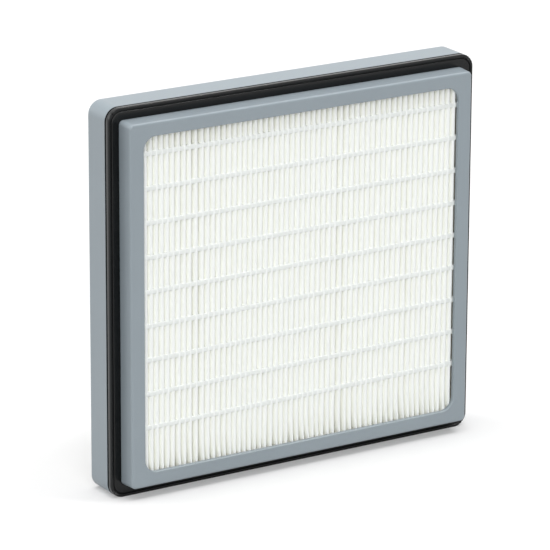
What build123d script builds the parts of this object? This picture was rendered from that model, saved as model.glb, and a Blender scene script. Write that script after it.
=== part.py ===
"""HEPA filter panel: a pleated pack of filter paper, potted into a stepped moulded frame with a gasket.

Millimetres, +Z up. The panel stands on its lower edge with its front opening facing -Y. The origin is
on the floor, under the middle of the panel.
"""

import os

from build123d import *

# Overall size
PANEL_WIDTH = 305.0
PANEL_HEIGHT = 287.0
PANEL_DEPTH = 42.0

# Rear housing of the frame, which ends at the flange that carries the gasket
HOUSING_DEPTH = 23.5
HOUSING_CORNER = 10.0
HOUSING_WALL = 3.0
FLANGE_THICKNESS = 3.0
HOUSING_REAR_CHAMFER = 0.8

# Front box of the frame, which is straight where the gasket sits and drafted from there to the front
BOX_WIDTH = 287.0
BOX_HEIGHT = 269.0
BOX_FRONT_WIDTH = 284.8
BOX_FRONT_HEIGHT = 268.2
BOX_CORNER = 3.5
BOX_WALL = 3.5
BOX_EDGE_ROUND = 1.5

# Front lip, with the opening that the air goes through
LIP_THICKNESS = 3.0
OPENING_WIDTH = 263.0
OPENING_HEIGHT = 247.5
OPENING_CORNER = 10.0
OPENING_EDGE_CHAMFER = 0.4

# Gasket, which lies on the flange all round the box
GASKET_THICKNESS = 5.0
GASKET_SIDE_INSET = 0.25
GASKET_EDGE_CHAMFER = 1.0

# Pleated sheet
PLEAT_COUNT = 60
PLEAT_PITCH = 4.5
PLEAT_DEPTH = 35.0
FOLD_WIDTH = 1.0
FOLD_THICKNESS = 0.6
PACK_END_MARGIN = 3.0

# Hot-melt glue lines across both faces of the pack
BEAD_COUNT = 9
BEAD_SPACING = 25.0
BEAD_HEIGHT = 3.2
FRONT_BEAD_SKIN = 0.35
REAR_BEAD_SKIN = 0.5
FIRST_BEAD_ABOVE_CENTRE = 110.0

# Places that follow from the sizes
CENTRE_Z = PANEL_HEIGHT / 2
FRONT_Y = -PANEL_DEPTH / 2
REAR_Y = PANEL_DEPTH / 2
FLANGE_Y = REAR_Y - HOUSING_DEPTH
FLANGE_BACK_Y = FLANGE_Y + FLANGE_THICKNESS
GASKET_FRONT_Y = FLANGE_Y - GASKET_THICKNESS
LIP_BACK_Y = FRONT_Y + LIP_THICKNESS
PACK_FRONT_Y = -PLEAT_DEPTH / 2
PACK_REAR_Y = PLEAT_DEPTH / 2
CAVITY_WIDTH = BOX_WIDTH - 2 * BOX_WALL
CAVITY_HEIGHT = BOX_HEIGHT - 2 * BOX_WALL
PACK_WIDTH = PLEAT_COUNT * PLEAT_PITCH
PACK_HEIGHT = CAVITY_HEIGHT - 2 * PACK_END_MARGIN


def upright_plane(y):
    """A drawing plane at depth y that faces the front, centred on the panel: local x is +X, local y is +Z."""
    return Plane(origin=(0, y, CENTRE_Z), x_dir=(1, 0, 0), z_dir=(0, -1, 0))


def make_frame():
    """The one-piece moulding: housing, flange, drafted box and front lip."""
    with BuildPart() as frame:
        with BuildSketch(upright_plane(REAR_Y)):
            RectangleRounded(PANEL_WIDTH, PANEL_HEIGHT, HOUSING_CORNER)
        extrude(amount=HOUSING_DEPTH)
        chamfer(frame.faces().sort_by(Axis.Y)[-1].outer_wire().edges(), HOUSING_REAR_CHAMFER)

        with BuildSketch(upright_plane(FLANGE_Y)):
            RectangleRounded(BOX_WIDTH, BOX_HEIGHT, BOX_CORNER)
        extrude(amount=GASKET_THICKNESS)
        with BuildSketch(upright_plane(GASKET_FRONT_Y)):
            RectangleRounded(BOX_WIDTH, BOX_HEIGHT, BOX_CORNER)
        with BuildSketch(upright_plane(FRONT_Y)):
            RectangleRounded(BOX_FRONT_WIDTH, BOX_FRONT_HEIGHT, BOX_CORNER)
        loft()
        fillet(frame.faces().sort_by(Axis.Y)[0].outer_wire().edges(), BOX_EDGE_ROUND)

        with BuildSketch(upright_plane(REAR_Y)):
            RectangleRounded(
                PANEL_WIDTH - 2 * HOUSING_WALL,
                PANEL_HEIGHT - 2 * HOUSING_WALL,
                HOUSING_CORNER - HOUSING_WALL,
            )
        extrude(amount=REAR_Y - FLANGE_BACK_Y, mode=Mode.SUBTRACT)
        with BuildSketch(upright_plane(FLANGE_BACK_Y)):
            Rectangle(CAVITY_WIDTH, CAVITY_HEIGHT)
        extrude(amount=FLANGE_BACK_Y - LIP_BACK_Y, mode=Mode.SUBTRACT)

        with BuildSketch(upright_plane(LIP_BACK_Y)):
            RectangleRounded(OPENING_WIDTH, OPENING_HEIGHT, OPENING_CORNER)
        extrude(amount=LIP_THICKNESS, mode=Mode.SUBTRACT)
        chamfer(frame.faces().sort_by(Axis.Y)[0].inner_wires().edges(), OPENING_EDGE_CHAMFER)
    return frame


def make_gasket():
    """The rubber ring on the flange. Its inner edge meets the straight foot of the box."""
    with BuildPart() as gasket:
        with BuildSketch(upright_plane(FLANGE_Y)):
            RectangleRounded(PANEL_WIDTH - 2 * GASKET_SIDE_INSET, PANEL_HEIGHT, HOUSING_CORNER)
            RectangleRounded(BOX_WIDTH, BOX_HEIGHT, BOX_CORNER, mode=Mode.SUBTRACT)
        extrude(amount=GASKET_THICKNESS)
        chamfer(gasket.faces().sort_by(Axis.Y)[0].outer_wire().edges(), GASKET_EDGE_CHAMFER)
    return gasket


def make_potting():
    """The sealant between the pack and the frame, poured from behind up to the rear folds."""
    with BuildPart() as potting:
        with BuildSketch(upright_plane(FLANGE_BACK_Y)):
            Rectangle(CAVITY_WIDTH, CAVITY_HEIGHT)
            Rectangle(PACK_WIDTH, PACK_HEIGHT, mode=Mode.SUBTRACT)
        extrude(amount=FLANGE_BACK_Y - LIP_BACK_Y)
        with BuildSketch(upright_plane(PACK_REAR_Y)):
            RectangleRounded(
                PANEL_WIDTH - 2 * HOUSING_WALL,
                PANEL_HEIGHT - 2 * HOUSING_WALL,
                HOUSING_CORNER - HOUSING_WALL,
            )
            Rectangle(PACK_WIDTH, PACK_HEIGHT, mode=Mode.SUBTRACT)
        extrude(amount=PACK_REAR_Y - FLANGE_BACK_Y)
    return potting


def front_fold_line():
    """The front surface of the folded sheet, seen from above, from the left side to the right.

    Each front fold is a short flat. Between two folds the surface runs down both flanks to the inside of
    a rear fold, which is a sharp crease because the paper there is doubled back on itself.
    """
    crease_y = PACK_REAR_Y - FOLD_THICKNESS
    points = [(-PACK_WIDTH / 2, crease_y)]
    for pleat in range(PLEAT_COUNT):
        fold_x = (pleat + 0.5) * PLEAT_PITCH - PACK_WIDTH / 2
        points.append((fold_x - FOLD_WIDTH / 2, PACK_FRONT_Y))
        points.append((fold_x + FOLD_WIDTH / 2, PACK_FRONT_Y))
        points.append((fold_x + PLEAT_PITCH / 2, crease_y))
    return points


def rear_fold_line():
    """The rear surface of the same sheet, from the right side back to the left."""
    crease_y = PACK_FRONT_Y + FOLD_THICKNESS
    points = [(PACK_WIDTH / 2, PACK_REAR_Y)]
    for pleat in reversed(range(PLEAT_COUNT)):
        fold_x = (pleat + 0.5) * PLEAT_PITCH - PACK_WIDTH / 2
        points.append((fold_x + PLEAT_PITCH / 2 - FOLD_WIDTH / 2, PACK_REAR_Y))
        points.append((fold_x, crease_y))
        points.append((fold_x - PLEAT_PITCH / 2 + FOLD_WIDTH / 2, PACK_REAR_Y))
    points.append((-PACK_WIDTH / 2, PACK_REAR_Y))
    return points


def make_media():
    """One sheet of filter paper folded into narrow pleats."""
    with BuildPart() as media:
        with BuildSketch(Plane.XY.offset(CENTRE_Z - PACK_HEIGHT / 2)):
            with BuildLine():
                Polyline(*front_fold_line(), *rear_fold_line(), close=True)
            make_face()
        extrude(amount=PACK_HEIGHT)
    return media


def make_front_bead(bead_z):
    """A glue line over the front folds, with a wedge down each valley that keeps its flanks apart."""
    skin_y = PACK_FRONT_Y - FRONT_BEAD_SKIN
    with BuildPart() as bead:
        with BuildSketch(Plane.XY.offset(bead_z - BEAD_HEIGHT / 2)):
            with BuildLine():
                Polyline(*front_fold_line(), (PACK_WIDTH / 2, skin_y), (-PACK_WIDTH / 2, skin_y), close=True)
            make_face()
        extrude(amount=BEAD_HEIGHT)
    return bead


def make_rear_bead(bead_z):
    """A glue line that lies across the rear folds."""
    with BuildPart() as bead:
        with BuildSketch(Plane.XY.offset(bead_z - BEAD_HEIGHT / 2)):
            with Locations((0, PACK_REAR_Y + REAR_BEAD_SKIN / 2)):
                Rectangle(PACK_WIDTH, REAR_BEAD_SKIN)
        extrude(amount=BEAD_HEIGHT)
    return bead


def export(piece, name):
    piece.part.label = name
    export_step(piece.part, f"parts/{name}.step")


os.makedirs("parts", exist_ok=True)
export(make_frame(), "moulded_frame")
export(make_gasket(), "sealing_gasket")
export(make_potting(), "potting_ring")
export(make_media(), "pleated_media")
for bead_index in range(BEAD_COUNT):
    bead_centre_z = CENTRE_Z + FIRST_BEAD_ABOVE_CENTRE - bead_index * BEAD_SPACING
    export(make_front_bead(bead_centre_z), f"front_glue_bead_{bead_index + 1}")
    export(make_rear_bead(bead_centre_z), f"rear_glue_bead_{bead_index + 1}")
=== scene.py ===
# %% [markdown]
# # A pleated air filter panel, dressed for the camera
#
# The panel is a folded pack of white filter paper in a moulded grey frame, with a black rubber gasket
# round its front box. The solids are ready: this lesson loads them, gives the frame and the sealant
# their finish, and builds the parts whose look needs more than a solid has: the rubber ring, the folded
# paper and the lines of glue. Lengths are in metres, and every piece stands where the solids stand.

import math

import bpy
import numpy as np
from mathutils import Matrix, Vector


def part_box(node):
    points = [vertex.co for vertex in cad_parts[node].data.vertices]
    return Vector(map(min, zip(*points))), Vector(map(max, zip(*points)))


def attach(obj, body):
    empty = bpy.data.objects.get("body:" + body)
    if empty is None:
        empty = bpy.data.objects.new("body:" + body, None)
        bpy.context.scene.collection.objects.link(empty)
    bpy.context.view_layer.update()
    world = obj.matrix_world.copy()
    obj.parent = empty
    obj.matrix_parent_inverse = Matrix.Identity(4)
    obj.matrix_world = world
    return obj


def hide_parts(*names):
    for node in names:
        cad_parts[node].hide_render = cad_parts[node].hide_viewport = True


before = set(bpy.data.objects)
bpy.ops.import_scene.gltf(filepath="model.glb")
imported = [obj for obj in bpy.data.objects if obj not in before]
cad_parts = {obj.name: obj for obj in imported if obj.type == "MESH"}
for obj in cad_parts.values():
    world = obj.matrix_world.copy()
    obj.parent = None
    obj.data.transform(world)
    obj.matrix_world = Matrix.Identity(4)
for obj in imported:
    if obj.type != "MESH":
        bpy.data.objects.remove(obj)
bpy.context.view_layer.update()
MM = 0.001

# %% [markdown]
# ## The camera
#
# A product photo of a flat thing is taken from far away with a long lens, so that the far side looks
# nearly as large as the near one. The camera stands to the left of the panel's front and a little
# above it. Its place is given by the point it looks at, two angles and a distance, because those are
# the numbers that a photographer changes, and a position in x, y and z hides them.

# %% Place the camera
LOOK_AT = Vector((-13.06 * MM, -2.5 * MM, 143.3 * MM))
CAMERA_LEFT = math.radians(31.80)
CAMERA_ABOVE = math.radians(17.77)
CAMERA_ROLL = math.radians(0.282)
CAMERA_DISTANCE = 2.903
CAMERA_REACH = 50.0
SENSOR_WIDTH = 36.0
IMAGE_WIDTH = 550
FOCAL_PIXELS = 4042.0


def aim_camera():
    """Makes the camera from its two angles, its roll and its distance from the point it looks at."""
    forward = Vector((
        math.sin(CAMERA_LEFT) * math.cos(CAMERA_ABOVE),
        math.cos(CAMERA_LEFT) * math.cos(CAMERA_ABOVE),
        -math.sin(CAMERA_ABOVE),
    ))
    level_right = Vector((math.cos(CAMERA_LEFT), -math.sin(CAMERA_LEFT), 0.0))
    level_up = level_right.cross(forward)
    right = math.cos(CAMERA_ROLL) * level_right + math.sin(CAMERA_ROLL) * level_up
    up = -math.sin(CAMERA_ROLL) * level_right + math.cos(CAMERA_ROLL) * level_up
    turn = Matrix((right, up, -forward)).transposed()
    lens = bpy.data.cameras.new("panel_camera")
    lens.sensor_width = SENSOR_WIDTH
    lens.lens = FOCAL_PIXELS / IMAGE_WIDTH * SENSOR_WIDTH
    lens.clip_end = CAMERA_REACH
    camera = bpy.data.objects.new("panel_camera", lens)
    camera.matrix_world = Matrix.Translation(LOOK_AT - forward * CAMERA_DISTANCE) @ turn.to_4x4()
    bpy.context.scene.collection.objects.link(camera)
    bpy.context.scene.camera = camera
    return camera


camera = aim_camera()
camera_place = [round(v, 3) for v in camera.matrix_world.translation]
print("camera at", camera_place, "lens", round(camera.data.lens, 1))

# %% [markdown]
# ## Light and floor
#
# The photo is high-key: a white room, with the brightest light from above, so the top of the frame is
# lighter than its front, and the shadow is a soft dark line close to the foot. A pale world gives the
# room. Three large soft suns give the light from above, from the front and from the far left, and a
# small one from the upper right draws crisp glints on the edges. The front light reaches down between
# the folds, and the left one is kept off the box by the gasket, which shades that wall. A sun has no
# distance, so the floor stays evenly lit. The camera sees the world and the floor whiter than they
# light, so the page round the panel is white. The floor does that with a paler colour and a weak glow,
# which only the camera, mirrors and glass see, so it keeps the shadow and adds no light to the panel.

# %% Helpers for the nodes that several materials use
MIX_FACTOR, MIX_FIRST, MIX_SECOND = 0, 6, 7
MIX_RESULT = 2


def math_node(nodes, operation):
    """A Math node that does the given operation."""
    node = nodes.new("ShaderNodeMath")
    node.operation = operation
    return node


def colour_mix(nodes):
    """A Mix node for colours. Its colour sockets share their names with others, so they go by number."""
    node = nodes.new("ShaderNodeMix")
    node.data_type = "RGBA"
    return node


def seen_directly(nodes, links):
    """A mask that is 1 where the camera looks, straight or by way of a mirror or a glass, and else 0."""
    rays = nodes.new("ShaderNodeLightPath")
    straight_or_mirror = math_node(nodes, "MAXIMUM")
    seen = math_node(nodes, "MAXIMUM")
    links.new(rays.outputs["Is Camera Ray"], straight_or_mirror.inputs[0])
    links.new(rays.outputs["Is Glossy Ray"], straight_or_mirror.inputs[1])
    links.new(straight_or_mirror.outputs[0], seen.inputs[0])
    links.new(rays.outputs["Is Transmission Ray"], seen.inputs[1])
    return seen.outputs[0]


# %% Light the studio
ROOM_LIGHT = 0.30
ROOM_SEEN = 1.0
WHITE = (1.0, 1.0, 1.0, 1.0)
SUNS = (
    ("top_light", 2.25, math.radians(64), Vector((0.0, -0.05, 1.0))),
    ("front_light", 1.56, math.radians(48), Vector((-0.52, -1.0, 0.38))),
    ("left_light", 0.75, math.radians(36), Vector((-0.74, 0.62, 0.38))),
    ("edge_light", 0.50, math.radians(8), Vector((0.42, -0.30, 0.86))),
)


def white_room():
    """A world that lights with ROOM_LIGHT, and looks plain white to the camera and in reflections."""
    world = bpy.data.worlds.new("white_room")
    world.use_nodes = True
    nodes, links = world.node_tree.nodes, world.node_tree.links
    nodes.clear()
    strength = nodes.new("ShaderNodeMapRange")
    strength.inputs["To Min"].default_value = ROOM_LIGHT
    strength.inputs["To Max"].default_value = ROOM_SEEN
    background = nodes.new("ShaderNodeBackground")
    background.inputs["Color"].default_value = WHITE
    output = nodes.new("ShaderNodeOutputWorld")
    links.new(seen_directly(nodes, links), strength.inputs["Value"])
    links.new(strength.outputs["Result"], background.inputs["Strength"])
    links.new(background.outputs["Background"], output.inputs["Surface"])
    bpy.context.scene.world = world


def soft_sun(name, strength, spread, comes_from):
    """A sun lamp that shines from the given direction, as wide in the sky as the given angle."""
    lamp = bpy.data.lights.new(name, "SUN")
    lamp.energy = strength
    lamp.angle = spread
    sun = bpy.data.objects.new(name, lamp)
    sun.rotation_mode = "QUATERNION"
    sun.rotation_quaternion = comes_from.to_track_quat("Z", "Y")
    bpy.context.scene.collection.objects.link(sun)


white_room()
for sun_name, strength, spread, comes_from in SUNS:
    soft_sun(sun_name, strength, spread, comes_from)
bpy.context.scene.view_settings.view_transform = "Standard"
print("room light", ROOM_LIGHT, "and suns:", [sun[0] for sun in SUNS])

# %% Lay the floor
FLOOR_SIDE = 30.0
FLOOR_COLOUR = (0.38, 0.38, 0.38, 1.0)
FLOOR_SEEN = (0.65, 0.65, 0.65, 1.0)
FLOOR_GLOW = 0.22
FLOOR_ROUGHNESS = 0.9
FLOOR_SPECULAR = 0.1


def paint_floor():
    """The floor's paint: FLOOR_COLOUR to the light, and FLOOR_SEEN with a weak glow to the camera."""
    paint = bpy.data.materials.new("studio_floor")
    paint.use_nodes = True
    nodes, links = paint.node_tree.nodes, paint.node_tree.links
    shader = nodes["Principled BSDF"]
    colour = colour_mix(nodes)
    colour.inputs[MIX_FIRST].default_value = FLOOR_COLOUR
    colour.inputs[MIX_SECOND].default_value = FLOOR_SEEN
    glow = math_node(nodes, "MULTIPLY")
    glow.inputs[1].default_value = FLOOR_GLOW
    seen = seen_directly(nodes, links)
    links.new(seen, colour.inputs[MIX_FACTOR])
    links.new(seen, glow.inputs[0])
    links.new(colour.outputs[MIX_RESULT], shader.inputs["Base Color"])
    links.new(glow.outputs[0], shader.inputs["Emission Strength"])
    shader.inputs["Emission Color"].default_value = WHITE
    shader.inputs["Roughness"].default_value = FLOOR_ROUGHNESS
    shader.inputs["Specular IOR Level"].default_value = FLOOR_SPECULAR
    return paint


def lay_floor():
    """A flat pale floor that takes the panel's shadow."""
    half = FLOOR_SIDE / 2
    corners = [(-half, -half, 0), (half, -half, 0), (half, half, 0), (-half, half, 0)]
    mesh = bpy.data.meshes.new("studio_floor")
    mesh.from_pydata(corners, [], [(0, 1, 2, 3)])
    mesh.materials.append(paint_floor())
    floor = bpy.data.objects.new("studio_floor", mesh)
    bpy.context.scene.collection.objects.link(floor)


lay_floor()
print("floor side", FLOOR_SIDE)

# %% [markdown]
# ## Two effects that several finishes share
#
# Moulded plastic, rubber, paper and glue all have a fine grain that catches the light, and a slow drift
# of tone from place to place. Each effect is a node group, made once, and each material sets its own
# size and strength. The groups work in object coordinates, which are metres here, so a grain size is a
# real size.

# %% Build the shared effects
DRIFT_DETAIL = 2.0
MASK_MIDDLE = 0.5


def new_group(name, inputs, outputs):
    """An empty shader node group with float inputs (name, value) and outputs (name, kind)."""
    group = bpy.data.node_groups.new(name, "ShaderNodeTree")
    for label, value in inputs:
        socket = group.interface.new_socket(label, in_out="INPUT", socket_type="NodeSocketFloat")
        socket.default_value = value
    for label, kind in outputs:
        group.interface.new_socket(label, in_out="OUTPUT", socket_type=kind)
    return group, group.nodes.new("NodeGroupInput"), group.nodes.new("NodeGroupOutput")


def sized_noise(group, given):
    """A noise texture on the object's own coordinates. Its scale is one divided by the group's Size."""
    place = group.nodes.new("ShaderNodeTexCoord")
    scale = math_node(group.nodes, "DIVIDE")
    scale.inputs[0].default_value = 1.0
    noise = group.nodes.new("ShaderNodeTexNoise")
    group.links.new(given.outputs["Size"], scale.inputs[1])
    group.links.new(place.outputs["Object"], noise.inputs["Vector"])
    group.links.new(scale.outputs[0], noise.inputs["Scale"])
    return noise


def make_grain_group():
    """Fine grain: Size is the width of a grain in metres, Height runs from 0 to 1."""
    group, given, result = new_group(
        "Fine grain", [("Size", 0.5 * MM), ("Detail", 3.0)], [("Height", "NodeSocketFloat")]
    )
    noise = sized_noise(group, given)
    group.links.new(given.outputs["Detail"], noise.inputs["Detail"])
    group.links.new(noise.outputs["Fac"], result.inputs["Height"])
    return group


def make_drift_group():
    """Slow drift of tone: a mask that wanders between 0 and 1 over patches of the given Size."""
    group, given, result = new_group(
        "Tone drift", [("Size", 50 * MM), ("Contrast", 1.0)], [("Mask", "NodeSocketFloat")]
    )
    noise = sized_noise(group, given)
    noise.inputs["Detail"].default_value = DRIFT_DETAIL
    centred = math_node(group.nodes, "SUBTRACT")
    centred.inputs[1].default_value = MASK_MIDDLE
    spread = math_node(group.nodes, "MULTIPLY_ADD")
    spread.use_clamp = True
    spread.inputs[2].default_value = MASK_MIDDLE
    group.links.new(noise.outputs["Fac"], centred.inputs[0])
    group.links.new(centred.outputs[0], spread.inputs[0])
    group.links.new(given.outputs["Contrast"], spread.inputs[1])
    group.links.new(spread.outputs[0], result.inputs["Mask"])
    return group


grain_group = make_grain_group()
drift_group = make_drift_group()
print("shared effects:", grain_group.name, "and", drift_group.name)

# %% A helper that puts them in a material


def surface(name, tones, roughness, grain, grain_depth, drift, specular=0.5, contrast=2.0, detail=3.0):
    """A material whose tone and gloss drift between two values, with a fine grain of the given size."""
    material = bpy.data.materials.new(name)
    material.use_nodes = True
    nodes, links = material.node_tree.nodes, material.node_tree.links
    shader = nodes["Principled BSDF"]
    shader.inputs["Specular IOR Level"].default_value = specular
    tone = nodes.new("ShaderNodeGroup")
    tone.node_tree = drift_group
    tone.inputs["Size"].default_value = drift
    tone.inputs["Contrast"].default_value = contrast
    colour = colour_mix(nodes)
    colour.inputs[MIX_FIRST].default_value = (*tones[0], 1.0)
    colour.inputs[MIX_SECOND].default_value = (*tones[1], 1.0)
    gloss = nodes.new("ShaderNodeMapRange")
    gloss.inputs["To Min"].default_value = roughness[0]
    gloss.inputs["To Max"].default_value = roughness[1]
    bumps = nodes.new("ShaderNodeGroup")
    bumps.node_tree = grain_group
    bumps.inputs["Size"].default_value = grain
    bumps.inputs["Detail"].default_value = detail
    relief = nodes.new("ShaderNodeBump")
    relief.inputs["Distance"].default_value = grain_depth
    links.new(tone.outputs["Mask"], colour.inputs[MIX_FACTOR])
    links.new(colour.outputs[MIX_RESULT], shader.inputs["Base Color"])
    links.new(tone.outputs["Mask"], gloss.inputs["Value"])
    links.new(gloss.outputs["Result"], shader.inputs["Roughness"])
    links.new(bumps.outputs["Height"], relief.inputs["Height"])
    links.new(relief.outputs["Normal"], shader.inputs["Normal"])
    return material


def dress(node, material):
    """Gives a solid that stays as it is its material."""
    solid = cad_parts[node]
    solid.data.materials.clear()
    solid.data.materials.append(material)


# %% [markdown]
# ## The frame
#
# The frame is one moulding in blue-grey plastic with a satin skin. Its solid has the true rounds on its
# edges already, so it stays, and only gets a finish: a grain too fine to see from a step away, which
# breaks up the highlights, and a very slight drift of tone.

# %% Finish the frame
frame_plastic = surface(
    "satin_grey_plastic",
    tones=((0.272, 0.316, 0.347), (0.288, 0.334, 0.365)),
    roughness=(0.30, 0.37),
    grain=0.45 * MM,
    grain_depth=0.012 * MM,
    drift=60 * MM,
    specular=0.4,
)
dress("moulded_frame", frame_plastic)
print("frame:", frame_plastic.name)

# %% [markdown]
# ## The sealant
#
# Behind the pack, the gap between paper and frame is filled with a cast sealant. It is poured, so it is
# smooth, with faint waves, and a warm white.

# %% Finish the sealant
sealant = surface(
    "cast_sealant",
    tones=((0.70, 0.68, 0.60), (0.78, 0.77, 0.70)),
    roughness=(0.28, 0.42),
    grain=6 * MM,
    grain_depth=0.25 * MM,
    drift=25 * MM,
    detail=1.0,
)
dress("potting_ring", sealant)
print("sealant:", sealant.name)

# %% [markdown]
# ## The gasket
#
# The rubber ring is an extrusion bent round the box and joined. Its outer edge is a rounded rim with a
# dark recess under it, then come a shallow groove and a broad flat face that seals. The solid is a plain
# ring, so a new mesh stands for it. Its section is drawn once as (distance in from the outer edge, height
# above the flange) in millimetres, and is carried round a rounded rectangle that shrinks from the outer
# edge to the box. Where the strip bends round a corner, its rim is squeezed into small creases. The rim
# is the same rubber as the face, but it has a material of its own: a little smoother, and a lighter grey
# that paints a highlight along it.

# %% Helpers that turn grids of points into meshes


def grid_faces(rows, columns, wrap_rows, wrap_columns):
    """Quads between neighbours of a grid of points that is stored row by row."""
    row_count = rows if wrap_rows else rows - 1
    column_count = columns if wrap_columns else columns - 1
    row = np.arange(row_count)[:, None]
    column = np.arange(column_count)[None, :]
    next_row, next_column = (row + 1) % rows, (column + 1) % columns
    quads = np.stack([
        row * columns + column,
        row * columns + next_column,
        next_row * columns + next_column,
        next_row * columns + column,
    ], axis=-1)
    return quads.reshape(-1, 4)


def mesh_piece(name, points, faces, material, smooth_angle):
    """A new object from points and faces, with smooth shading up to the given angle."""
    mesh = bpy.data.meshes.new(name)
    mesh.from_pydata([tuple(p) for p in points], [], [tuple(int(i) for i in f) for f in faces])
    mesh.update()
    mesh.materials.append(material)
    mesh.shade_smooth()
    mesh.set_sharp_from_angle(angle=smooth_angle)
    piece = bpy.data.objects.new(name, mesh)
    bpy.context.scene.collection.objects.link(piece)
    return piece


def rounded_rectangle(half_width, half_height, corner, arc_steps):
    """Points (x, z) round a rectangle with round corners, centred on zero, anticlockwise."""
    points = []
    for quarter in range(4):
        start = quarter * math.pi / 2
        side_x = 1 if quarter in (0, 3) else -1
        side_z = 1 if quarter in (0, 1) else -1
        for step in range(arc_steps + 1):
            angle = start + step / arc_steps * math.pi / 2
            points.append((
                side_x * (half_width - corner) + corner * math.cos(angle),
                side_z * (half_height - corner) + corner * math.sin(angle),
            ))
    return np.array(points)


# %% Measure and draw the gasket
gasket_low, gasket_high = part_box("sealing_gasket")
frame_low, frame_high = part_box("moulded_frame")
PANEL_CENTRE_Z = (frame_low.z + frame_high.z) / 2
PANEL_CORNER = 10.0 * MM
BOX_HALF_WIDTH = 143.5 * MM
BOX_HALF_HEIGHT = 134.5 * MM
BOX_CORNER = 3.5 * MM
GASKET_OUTER = (gasket_high.x, (gasket_high.z - gasket_low.z) / 2, PANEL_CORNER)
GASKET_INNER = (BOX_HALF_WIDTH, BOX_HALF_HEIGHT, BOX_CORNER)
GASKET_WIDTH = gasket_high.x - BOX_HALF_WIDTH
GASKET_THICKNESS = gasket_high.y - gasket_low.y
GASKET_ARC_STEPS = 48
GASKET_SMOOTH_ANGLE = math.radians(40)
GASKET_SECTION = (
    (0.02, 0.0), (0.02, 0.22), (0.20, 0.34), (1.80, 0.40), (1.90, 0.85), (1.70, 1.30), (0.35, 1.48),
    (0.10, 1.62), (0.0, 1.95), (0.0, 4.45), (0.05, 4.72), (0.18, 4.90), (0.40, 4.98), (0.55, 5.0),
    (0.65, 5.0), (1.65, 5.0), (1.75, 4.98), (1.95, 4.86), (2.15, 4.45), (2.35, 4.15), (2.60, 4.15),
    (2.80, 4.45), (3.00, 4.82), (3.18, 4.97), (3.28, 5.0), (3.40, 5.0), (8.30, 5.0), (8.40, 4.99),
    (8.60, 4.80), (8.70, 4.5), (8.72, 4.0), (8.72, 0.0),
)
# The faces from ring RIM_FIRST_RING to ring RIM_LAST_RING take the lighter rim rubber, which paints a
# highlight there.
RIM_FIRST_RING = 7
RIM_LAST_RING = 13
print("gasket: width in mm", round(GASKET_WIDTH / MM, 2), "and section points", len(GASKET_SECTION))

# %% Build the gasket
CREASES = ((0.34, 0.45 * MM), (0.50, 0.70 * MM), (0.62, 0.40 * MM))
CREASE_WIDTH = 0.028
CREASE_REACH = 3.0


def corner_creases(inset, height):
    """How deep one ring of the rim is pinched at each of its points, for the creases in the corners.

    A crease is given as (place along the corner's arc from 0 to 1, depth). It is deepest at the top of
    the section, and fades out over CREASE_REACH millimetres from the outer edge.
    """
    arc = np.arange(GASKET_ARC_STEPS + 1) / GASKET_ARC_STEPS
    pinch = sum(depth * np.exp(-((arc - place) / CREASE_WIDTH) ** 2) for place, depth in CREASES)
    share = min(height * MM / GASKET_THICKNESS, 1.0)
    return np.tile(pinch, 4) * share * math.exp(-(inset / CREASE_REACH) ** 2)


def build_gasket(material, highlight_rim_material):
    """Carries the gasket's section round the box, with its rim in the second material, a lighter rubber
    that paints a highlight.
    """
    rings = []
    for inset, height in GASKET_SECTION:
        share = inset * MM / GASKET_WIDTH
        half_width, half_height, corner = (
            outer + (inner - outer) * share for outer, inner in zip(GASKET_OUTER, GASKET_INNER)
        )
        line = rounded_rectangle(half_width, half_height, corner, GASKET_ARC_STEPS)
        depth = gasket_high.y - height * MM + corner_creases(inset, height)
        rings.append(np.column_stack([line[:, 0], depth, line[:, 1] + PANEL_CENTRE_Z]))
    around = len(rings[0])
    points = np.concatenate(rings)
    faces = grid_faces(len(rings), around, True, True)
    gasket = mesh_piece("rubber_gasket", points, faces, material, GASKET_SMOOTH_ANGLE)
    gasket.data.materials.append(highlight_rim_material)
    for face in gasket.data.polygons[RIM_FIRST_RING * around:RIM_LAST_RING * around]:
        face.material_index = 1
    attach(gasket, "root")
    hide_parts("sealing_gasket")
    return gasket


rubber = surface(
    "black_rubber",
    tones=((0.0014, 0.0018, 0.0020), (0.0022, 0.0027, 0.0030)),
    roughness=(0.16, 0.26),
    grain=1.5 * MM,
    grain_depth=0.006 * MM,
    drift=30 * MM,
    specular=0.30,
)
# A lighter copy of the black rubber for the rim: its grey paints a highlight along the rounded edge.
highlight_rim_rubber = surface(
    "black_rubber_painted_highlight_rim",
    tones=((0.0060, 0.0068, 0.0072), (0.0085, 0.0096, 0.0102)),
    roughness=(0.14, 0.22),
    grain=1.5 * MM,
    grain_depth=0.006 * MM,
    drift=30 * MM,
    specular=0.34,
)
gasket = build_gasket(rubber, highlight_rim_rubber)
print("gasket:", len(gasket.data.polygons), "faces")

# %% [markdown]
# ## The folded paper
#
# The pack is one sheet of glass-fibre paper, folded to and fro. Real folds are round, and no two are
# alike: they stand a little off their pitch, vary in width and depth, and wander most near the bottom,
# where no glue holds them. Under the edges of the opening they get slimmer, so dark gaps show there, and
# the last fold on the right stands back. The sheet is built as a wavy line of folds at each of many
# heights, and the places of the folds drift smoothly from one height to the next. The heights stand
# closer together at the top and the bottom, where the folds change most. The random numbers come from
# one seeded generator, so every run gives the same pack.

# %% Say how the folds are shaped
paper_low, paper_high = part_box("pleated_media")
FOLDS = 60
FOLD_PITCH = (paper_high.x - paper_low.x) / FOLDS
PAPER_THICKNESS = 0.5 * MM
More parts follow.
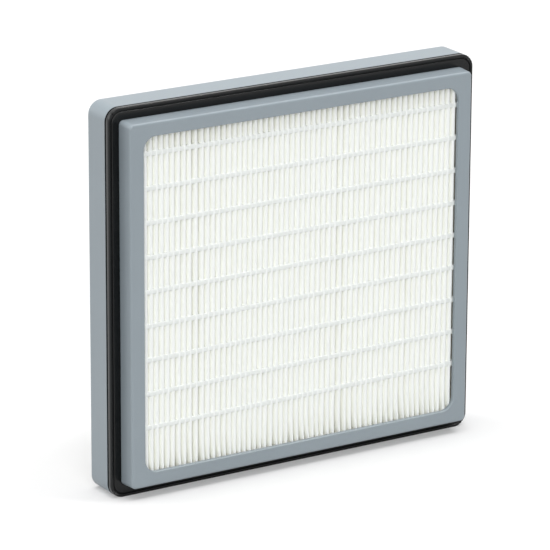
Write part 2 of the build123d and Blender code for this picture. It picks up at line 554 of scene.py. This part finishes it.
# Half the outline of a front fold: (half width, depth behind the crest) in millimetres
NOSE = (
    (0.0, 0.0), (0.38, 0.04), (0.70, 0.17), (1.00, 0.46),
    (1.29, 0.95), (1.58, 1.6), (1.82, 2.3), (1.96, 3.4),
)
REAR_HALF_WIDTH = 0.85 * MM
REAR_ROUND_DEPTH = 1.3 * MM
GLUE_LINES = 9
FIRST_GLUE_Z = 253.5 * MM
GLUE_SPACING = 25.0 * MM
LAST_GLUE_Z = FIRST_GLUE_Z - (GLUE_LINES - 1) * GLUE_SPACING
HEIGHT_ROWS = 35
END_CROWDING = 0.55
even = np.linspace(0, 1, HEIGHT_ROWS)
crowded = even - END_CROWDING * np.sin(2 * math.pi * even) / (2 * math.pi)
heights = paper_low.z + (paper_high.z - paper_low.z) * crowded
print("folds:", FOLDS, "pitch in mm:", round(FOLD_PITCH / MM, 2), "heights:", HEIGHT_ROWS)

# %% Say where the folds stand
PACK_SEED = 7
PLACE_JITTER = 0.22 * MM
# Gaps that are wider than the rest: (number of the fold from the left, extra room)
WIDE_GAPS = ((10, 1.1 * MM), (37, 0.9 * MM))
LAST_FOLD_ROOM = 2.5 * MM
SWAY = 0.05 * MM
FREE_SWAY = 0.85 * MM
SWAY_GROWTH = 1.3
OWN_SWAY_KNOTS = 14
SHARED_SWAY_KNOTS = 7
SHARED_SWAY_FOLDS = 4
OWN_SWAY_SHARE = 0.45
random = np.random.default_rng(PACK_SEED)


def smooth_noise(knots, blend_folds=0):
    """Noise for each fold and height: random at a few knots up the height, alike for near folds."""
    raw = random.normal(size=(FOLDS + 2 * blend_folds, knots))
    kernel = np.hanning(2 * blend_folds + 3)[1:-1]
    kernel /= np.sqrt((kernel ** 2).sum())
    mixed = np.array([np.convolve(raw[:, knot], kernel, mode="valid") for knot in range(knots)]).T
    place = (heights - heights[0]) / (heights[-1] - heights[0]) * (knots - 1)
    below = np.minimum(place.astype(int), knots - 2)
    ease = place - below
    ease = ease * ease * (3 - 2 * ease)
    return mixed[:, below] * (1 - ease) + mixed[:, below + 1] * ease


def fold_places():
    """The x of each front fold at each height, as an array of folds by heights."""
    gaps = np.full(FOLDS, FOLD_PITCH) + random.normal(scale=PLACE_JITTER, size=FOLDS)
    for index, extra in WIDE_GAPS:
        gaps[index] += extra
    gaps[-1] = LAST_FOLD_ROOM
    gaps[:-1] *= (paper_high.x - paper_low.x - LAST_FOLD_ROOM) / gaps[:-1].sum()
    base = paper_low.x + np.cumsum(gaps) - gaps / 2
    loose = np.clip((LAST_GLUE_Z - heights) / (LAST_GLUE_Z - paper_low.z), 0, 1)
    sway = SWAY + (FREE_SWAY - SWAY) * loose ** SWAY_GROWTH
    own = smooth_noise(OWN_SWAY_KNOTS)
    shared = smooth_noise(SHARED_SWAY_KNOTS, SHARED_SWAY_FOLDS)
    return base[:, None] + sway * (OWN_SWAY_SHARE * own + (1 - OWN_SWAY_SHARE) * shared)


fold_x = fold_places()
print("fold places in mm:", round(fold_x.min() / MM, 1), "to", round(fold_x.max() / MM, 1))

# %% Say how deep and how plump the folds are
DEPTH_JITTER = 0.10 * MM
DEPTH_KNOTS = 8
LAST_FOLD_DEPTH = 9.0 * MM
PLUMPNESS_JITTER = 0.045
PLUMPNESS_KNOTS = 10
NOISE_LIMIT = 2
OPENING_MARGIN = 19.75 * MM
END_SLIMNESS = 0.42
END_REACH = 9.0 * MM
fold_depth = DEPTH_JITTER * smooth_noise(DEPTH_KNOTS)
fold_depth[-1] = LAST_FOLD_DEPTH
above_lower_edge = heights - (frame_low.z + OPENING_MARGIN)
below_upper_edge = (frame_high.z - OPENING_MARGIN) - heights
from_edge = np.minimum(above_lower_edge, below_upper_edge).clip(0, None)
slimming = 1 - END_SLIMNESS * np.exp(-from_edge / END_REACH)
plumpness_noise = smooth_noise(PLUMPNESS_KNOTS).clip(-NOISE_LIMIT, NOISE_LIMIT)
fold_plumpness = slimming * (1 + PLUMPNESS_JITTER * plumpness_noise)
print("plumpness:", round(fold_plumpness.min(), 2), "to", round(fold_plumpness.max(), 2))

# %% Draw the sheet at one height
FOLD_CLEARANCE = 0.03 * MM
REAR_ARC_STEPS = 4
REAR_ARC = [math.pi * step / REAR_ARC_STEPS for step in range(REAR_ARC_STEPS, -1, -1)]


def width_share(gap):
    """How much of its full width a fold can take when its neighbour's middle is one gap away."""
    return (gap - PAPER_THICKNESS - FOLD_CLEARANCE) / (2 * NOSE[-1][0] * MM)


def sheet_line(row):
    """The middle line of the sheet at one height: points (x, y) from the left end to the right end."""
    centres = fold_x[:, row]
    back = paper_high.y - PAPER_THICKNESS / 2
    line = [(paper_low.x, back - REAR_ROUND_DEPTH)]
    for i, centre in enumerate(centres):
        front = paper_low.y + PAPER_THICKNESS / 2 + abs(fold_depth[i, row])
        left_room = width_share(centre - centres[i - 1]) if i else 1.0
        right_room = width_share(centres[i + 1] - centre) if i < FOLDS - 1 else 1.0
        left_share = min(fold_plumpness[i, row], left_room)
        right_share = min(fold_plumpness[i, row], right_room)
        for width, depth in reversed(NOSE[1:]):
            line.append((centre - width * MM * left_share, front + depth * MM))
        for width, depth in NOSE:
            line.append((centre + width * MM * right_share, front + depth * MM))
        if i < FOLDS - 1:
            middle = (centre + centres[i + 1]) / 2
            for angle in REAR_ARC:
                line.append((
                    middle + REAR_HALF_WIDTH * math.cos(angle),
                    back - REAR_ROUND_DEPTH * (1 - math.sin(angle)),
                ))
    line.append((paper_high.x, back - REAR_ROUND_DEPTH))
    return np.array(line)


def both_faces(line):
    """The front and the back face of the sheet: the middle line moved half a thickness to each side."""
    ahead = np.roll(line, -1, axis=0)
    behind = np.roll(line, 1, axis=0)
    ahead[-1], behind[0] = line[-1], line[0]
    along = ahead - behind
    along /= np.linalg.norm(along, axis=1)[:, None]
    side = np.column_stack([along[:, 1], -along[:, 0]]) * PAPER_THICKNESS / 2
    return np.concatenate([line + side, (line - side)[::-1]])


print("points round the sheet:", len(both_faces(sheet_line(0))))

# %% [markdown]
# ## The paper's white
#
# Light goes to and fro between the folds of white paper many times before it comes out, and takes on the
# paper's own faint yellow-green there. The crests send it back at once, so they look cooler. Both are
# painted into the paper's colour: deeper in the folds the paper is a lighter, yellower tone, which paints
# that bounced light, and its outermost millimetres, front and back, are a darker, cooler white, painted
# shade that keeps the crests from getting brighter than paper.

# %% Mix the paper's tones
# Painted shade: the crests' darker, cooler white, blended in over CREST_DEPTH from each face.
PAINTED_CREST_SHADE = (0.905, 0.930, 0.920, 1.0)
CREST_DEPTH = 2.2 * MM


def paint_crest_shade(material):
    """Paints shade onto the crests: blends the paper's tone to a darker, cooler white over the first few
    millimetres of depth on both sides.
    """
    nodes, links = material.node_tree.nodes, material.node_tree.links
    base_colour = nodes["Principled BSDF"].inputs["Base Color"]
    place = nodes.new("ShaderNodeTexCoord")
    axes = nodes.new("ShaderNodeSeparateXYZ")
    depth = math_node(nodes, "ABSOLUTE")
    mask = nodes.new("ShaderNodeMapRange")
    mask.inputs["From Min"].default_value = paper_high.y - CREST_DEPTH
    mask.inputs["From Max"].default_value = paper_high.y
    blend = colour_mix(nodes)
    blend.inputs[MIX_SECOND].default_value = PAINTED_CREST_SHADE
    links.new(place.outputs["Object"], axes.inputs[0])
    links.new(axes.outputs["Y"], depth.inputs[0])
    links.new(depth.outputs[0], mask.inputs["Value"])
    links.new(mask.outputs["Result"], blend.inputs[MIX_FACTOR])
    links.new(base_colour.links[0].from_socket, blend.inputs[MIX_FIRST])
    links.new(blend.outputs[MIX_RESULT], base_colour)


# These tones are the paper deeper in the folds. They are lighter and yellower than the crests, and they
# paint the light bounced between the folds.
filter_paper = surface(
    "glass_fibre_paper",
    tones=((0.972, 0.981, 0.905), (0.984, 0.990, 0.935)),
    roughness=(0.85, 0.95),
    grain=0.35 * MM,
    grain_depth=0.02 * MM,
    drift=18 * MM,
    specular=0.2,
)
paint_crest_shade(filter_paper)
print("paper:", filter_paper.name)

# %% Fold the sheet
PAPER_SMOOTH_ANGLE = math.radians(80)


def build_paper(material):
    """Stacks the sheet's outline at every height, and closes it at the top and the bottom."""
    rows = []
    for row, z in enumerate(heights):
        outline = both_faces(sheet_line(row))
        outline[:, 0] = outline[:, 0].clip(paper_low.x, paper_high.x)
        outline[:, 1] = outline[:, 1].clip(paper_low.y, paper_high.y)
        rows.append(np.column_stack([outline, np.full(len(outline), z)]))
    columns = len(rows[0])
    top_row = (len(rows) - 1) * columns
    faces = grid_faces(len(rows), columns, False, True).tolist()
    for i in range(columns // 2 - 1):
        strip = (i, i + 1, columns - 2 - i, columns - 1 - i)
        faces.append(strip[::-1])
        faces.append([top_row + corner for corner in strip])
    paper = mesh_piece("folded_paper", np.concatenate(rows), faces, material, PAPER_SMOOTH_ANGLE)
    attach(paper, "root")
    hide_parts("pleated_media")
    return paper


paper = build_paper(filter_paper)
print("paper:", len(paper.data.polygons), "faces")

# %% [markdown]
# ## The lines of glue
#
# Nine lines of hot-melt glue cross each side of the pack and hold the folds apart. The glue is drawn
# down into the valleys while it is hot, so its outer side lies just behind the crests, sinks a little
# more between them, and lets the crests show across the line. A line is built as one closed band across
# the whole pack: a rounded outer side that wanders a little, and a straight back 4 mm down the valleys,
# where the paper hides it. That is quicker than a wedge for each valley, and looks the same.

# %% Measure the glue
GLUE_HEIGHT = 3.4 * MM
GLUE_SET_BACK = 0.12 * MM
GLUE_SINK = 0.22 * MM
GLUE_BODY = 4.0 * MM
GLUE_BACK_SHARE = 0.96
GLUE_EDGE_ROUND = 0.20 * MM
GLUE_EDGE_POWER = 6
GLUE_SECTION_POINTS = 9
GLUE_STEPS_PER_FOLD = 8
GLUE_RISE_TOP = -0.5 * MM
GLUE_RISE_BOTTOM = 1.5 * MM
GLUE_SWELLING = 0.04
GLUE_SWELLING_KNOTS = 90
GLUE_WANDER = 0.08 * MM
GLUE_WANDER_KNOTS = 50
GLUE_SMOOTH_ANGLE = math.radians(50)


def random_along(x, scale, knots):
    """A value for each x that runs straight from one random knot to the next."""
    return np.interp(x, np.linspace(x[0], x[-1], knots), random.normal(scale=scale, size=knots))


def glue_rings(x, crests, centre_z, rise):
    """The band's long lines, each as (z, how far it lies outside the crests) for every x."""
    to_crest = np.abs(x[:, None] - crests[None, :]).min(axis=1) / (FOLD_PITCH / 2)
    sink = GLUE_SINK * np.clip(to_crest, 0, 1) ** 2
    half_height = GLUE_HEIGHT * (1 + random_along(x, GLUE_SWELLING, GLUE_SWELLING_KNOTS)) / 2
    middle_z = centre_z + rise * x / paper_high.x + random_along(x, GLUE_WANDER, GLUE_WANDER_KNOTS)
    rings = []
    for up in np.linspace(-1, 1, GLUE_SECTION_POINTS):
        rounding = GLUE_EDGE_ROUND * (1 - math.sqrt(max(0.0, 1 - up ** GLUE_EDGE_POWER)))
        rings.append((middle_z + up * half_height, -GLUE_SET_BACK - sink - rounding))
    for up in (GLUE_BACK_SHARE, -GLUE_BACK_SHARE):
        rings.append((middle_z + up * half_height, np.full(len(x), -GLUE_BODY)))
    return rings


print("glue: height in mm", GLUE_HEIGHT / MM, "and depth in mm", GLUE_BODY / MM)

# %% Lay the glue


def glue_line(name, node, centre_z, rise, side, material):
    """One band of glue across the folds: side is -1 on the front of the pack and 1 on the back."""
    row = int(np.argmin(abs(heights - centre_z)))
    crests = fold_x[:, row] if side < 0 else (fold_x[1:, row] + fold_x[:-1, row]) / 2
    face_y = paper_low.y if side < 0 else paper_high.y
    x = np.linspace(paper_low.x, paper_high.x, FOLDS * GLUE_STEPS_PER_FOLD + 1)
    rings = glue_rings(x, crests, centre_z, rise)
    points = np.concatenate([np.column_stack([x, face_y + side * proud, z]) for z, proud in rings])
    around, along = len(rings), len(x)
    faces = grid_faces(around, along, True, False).tolist()
    faces.append([ring * along for ring in range(around)])
    faces.append([ring * along + along - 1 for ring in reversed(range(around))])
    if side > 0:
        faces = [face[::-1] for face in faces]
    line = mesh_piece(name, points, faces, material, GLUE_SMOOTH_ANGLE)
    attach(line, "root")
    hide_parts(node)


glue = surface(
    "hot_melt_glue",
    tones=((0.795, 0.825, 0.800), (0.825, 0.855, 0.835)),
    roughness=(0.45, 0.6),
    grain=1.2 * MM,
    grain_depth=0.05 * MM,
    drift=5 * MM,
)
for number in range(GLUE_LINES):
    z = FIRST_GLUE_Z - number * GLUE_SPACING
    share = number / (GLUE_LINES - 1)
    rise = GLUE_RISE_TOP + (GLUE_RISE_BOTTOM - GLUE_RISE_TOP) * share
    glue_line(f"front_glue_{number + 1}", f"front_glue_bead_{number + 1}", z, rise, -1, glue)
    glue_line(f"rear_glue_{number + 1}", f"rear_glue_bead_{number + 1}", z, 0.0, 1, glue)
print("glue lines:", 2 * GLUE_LINES)
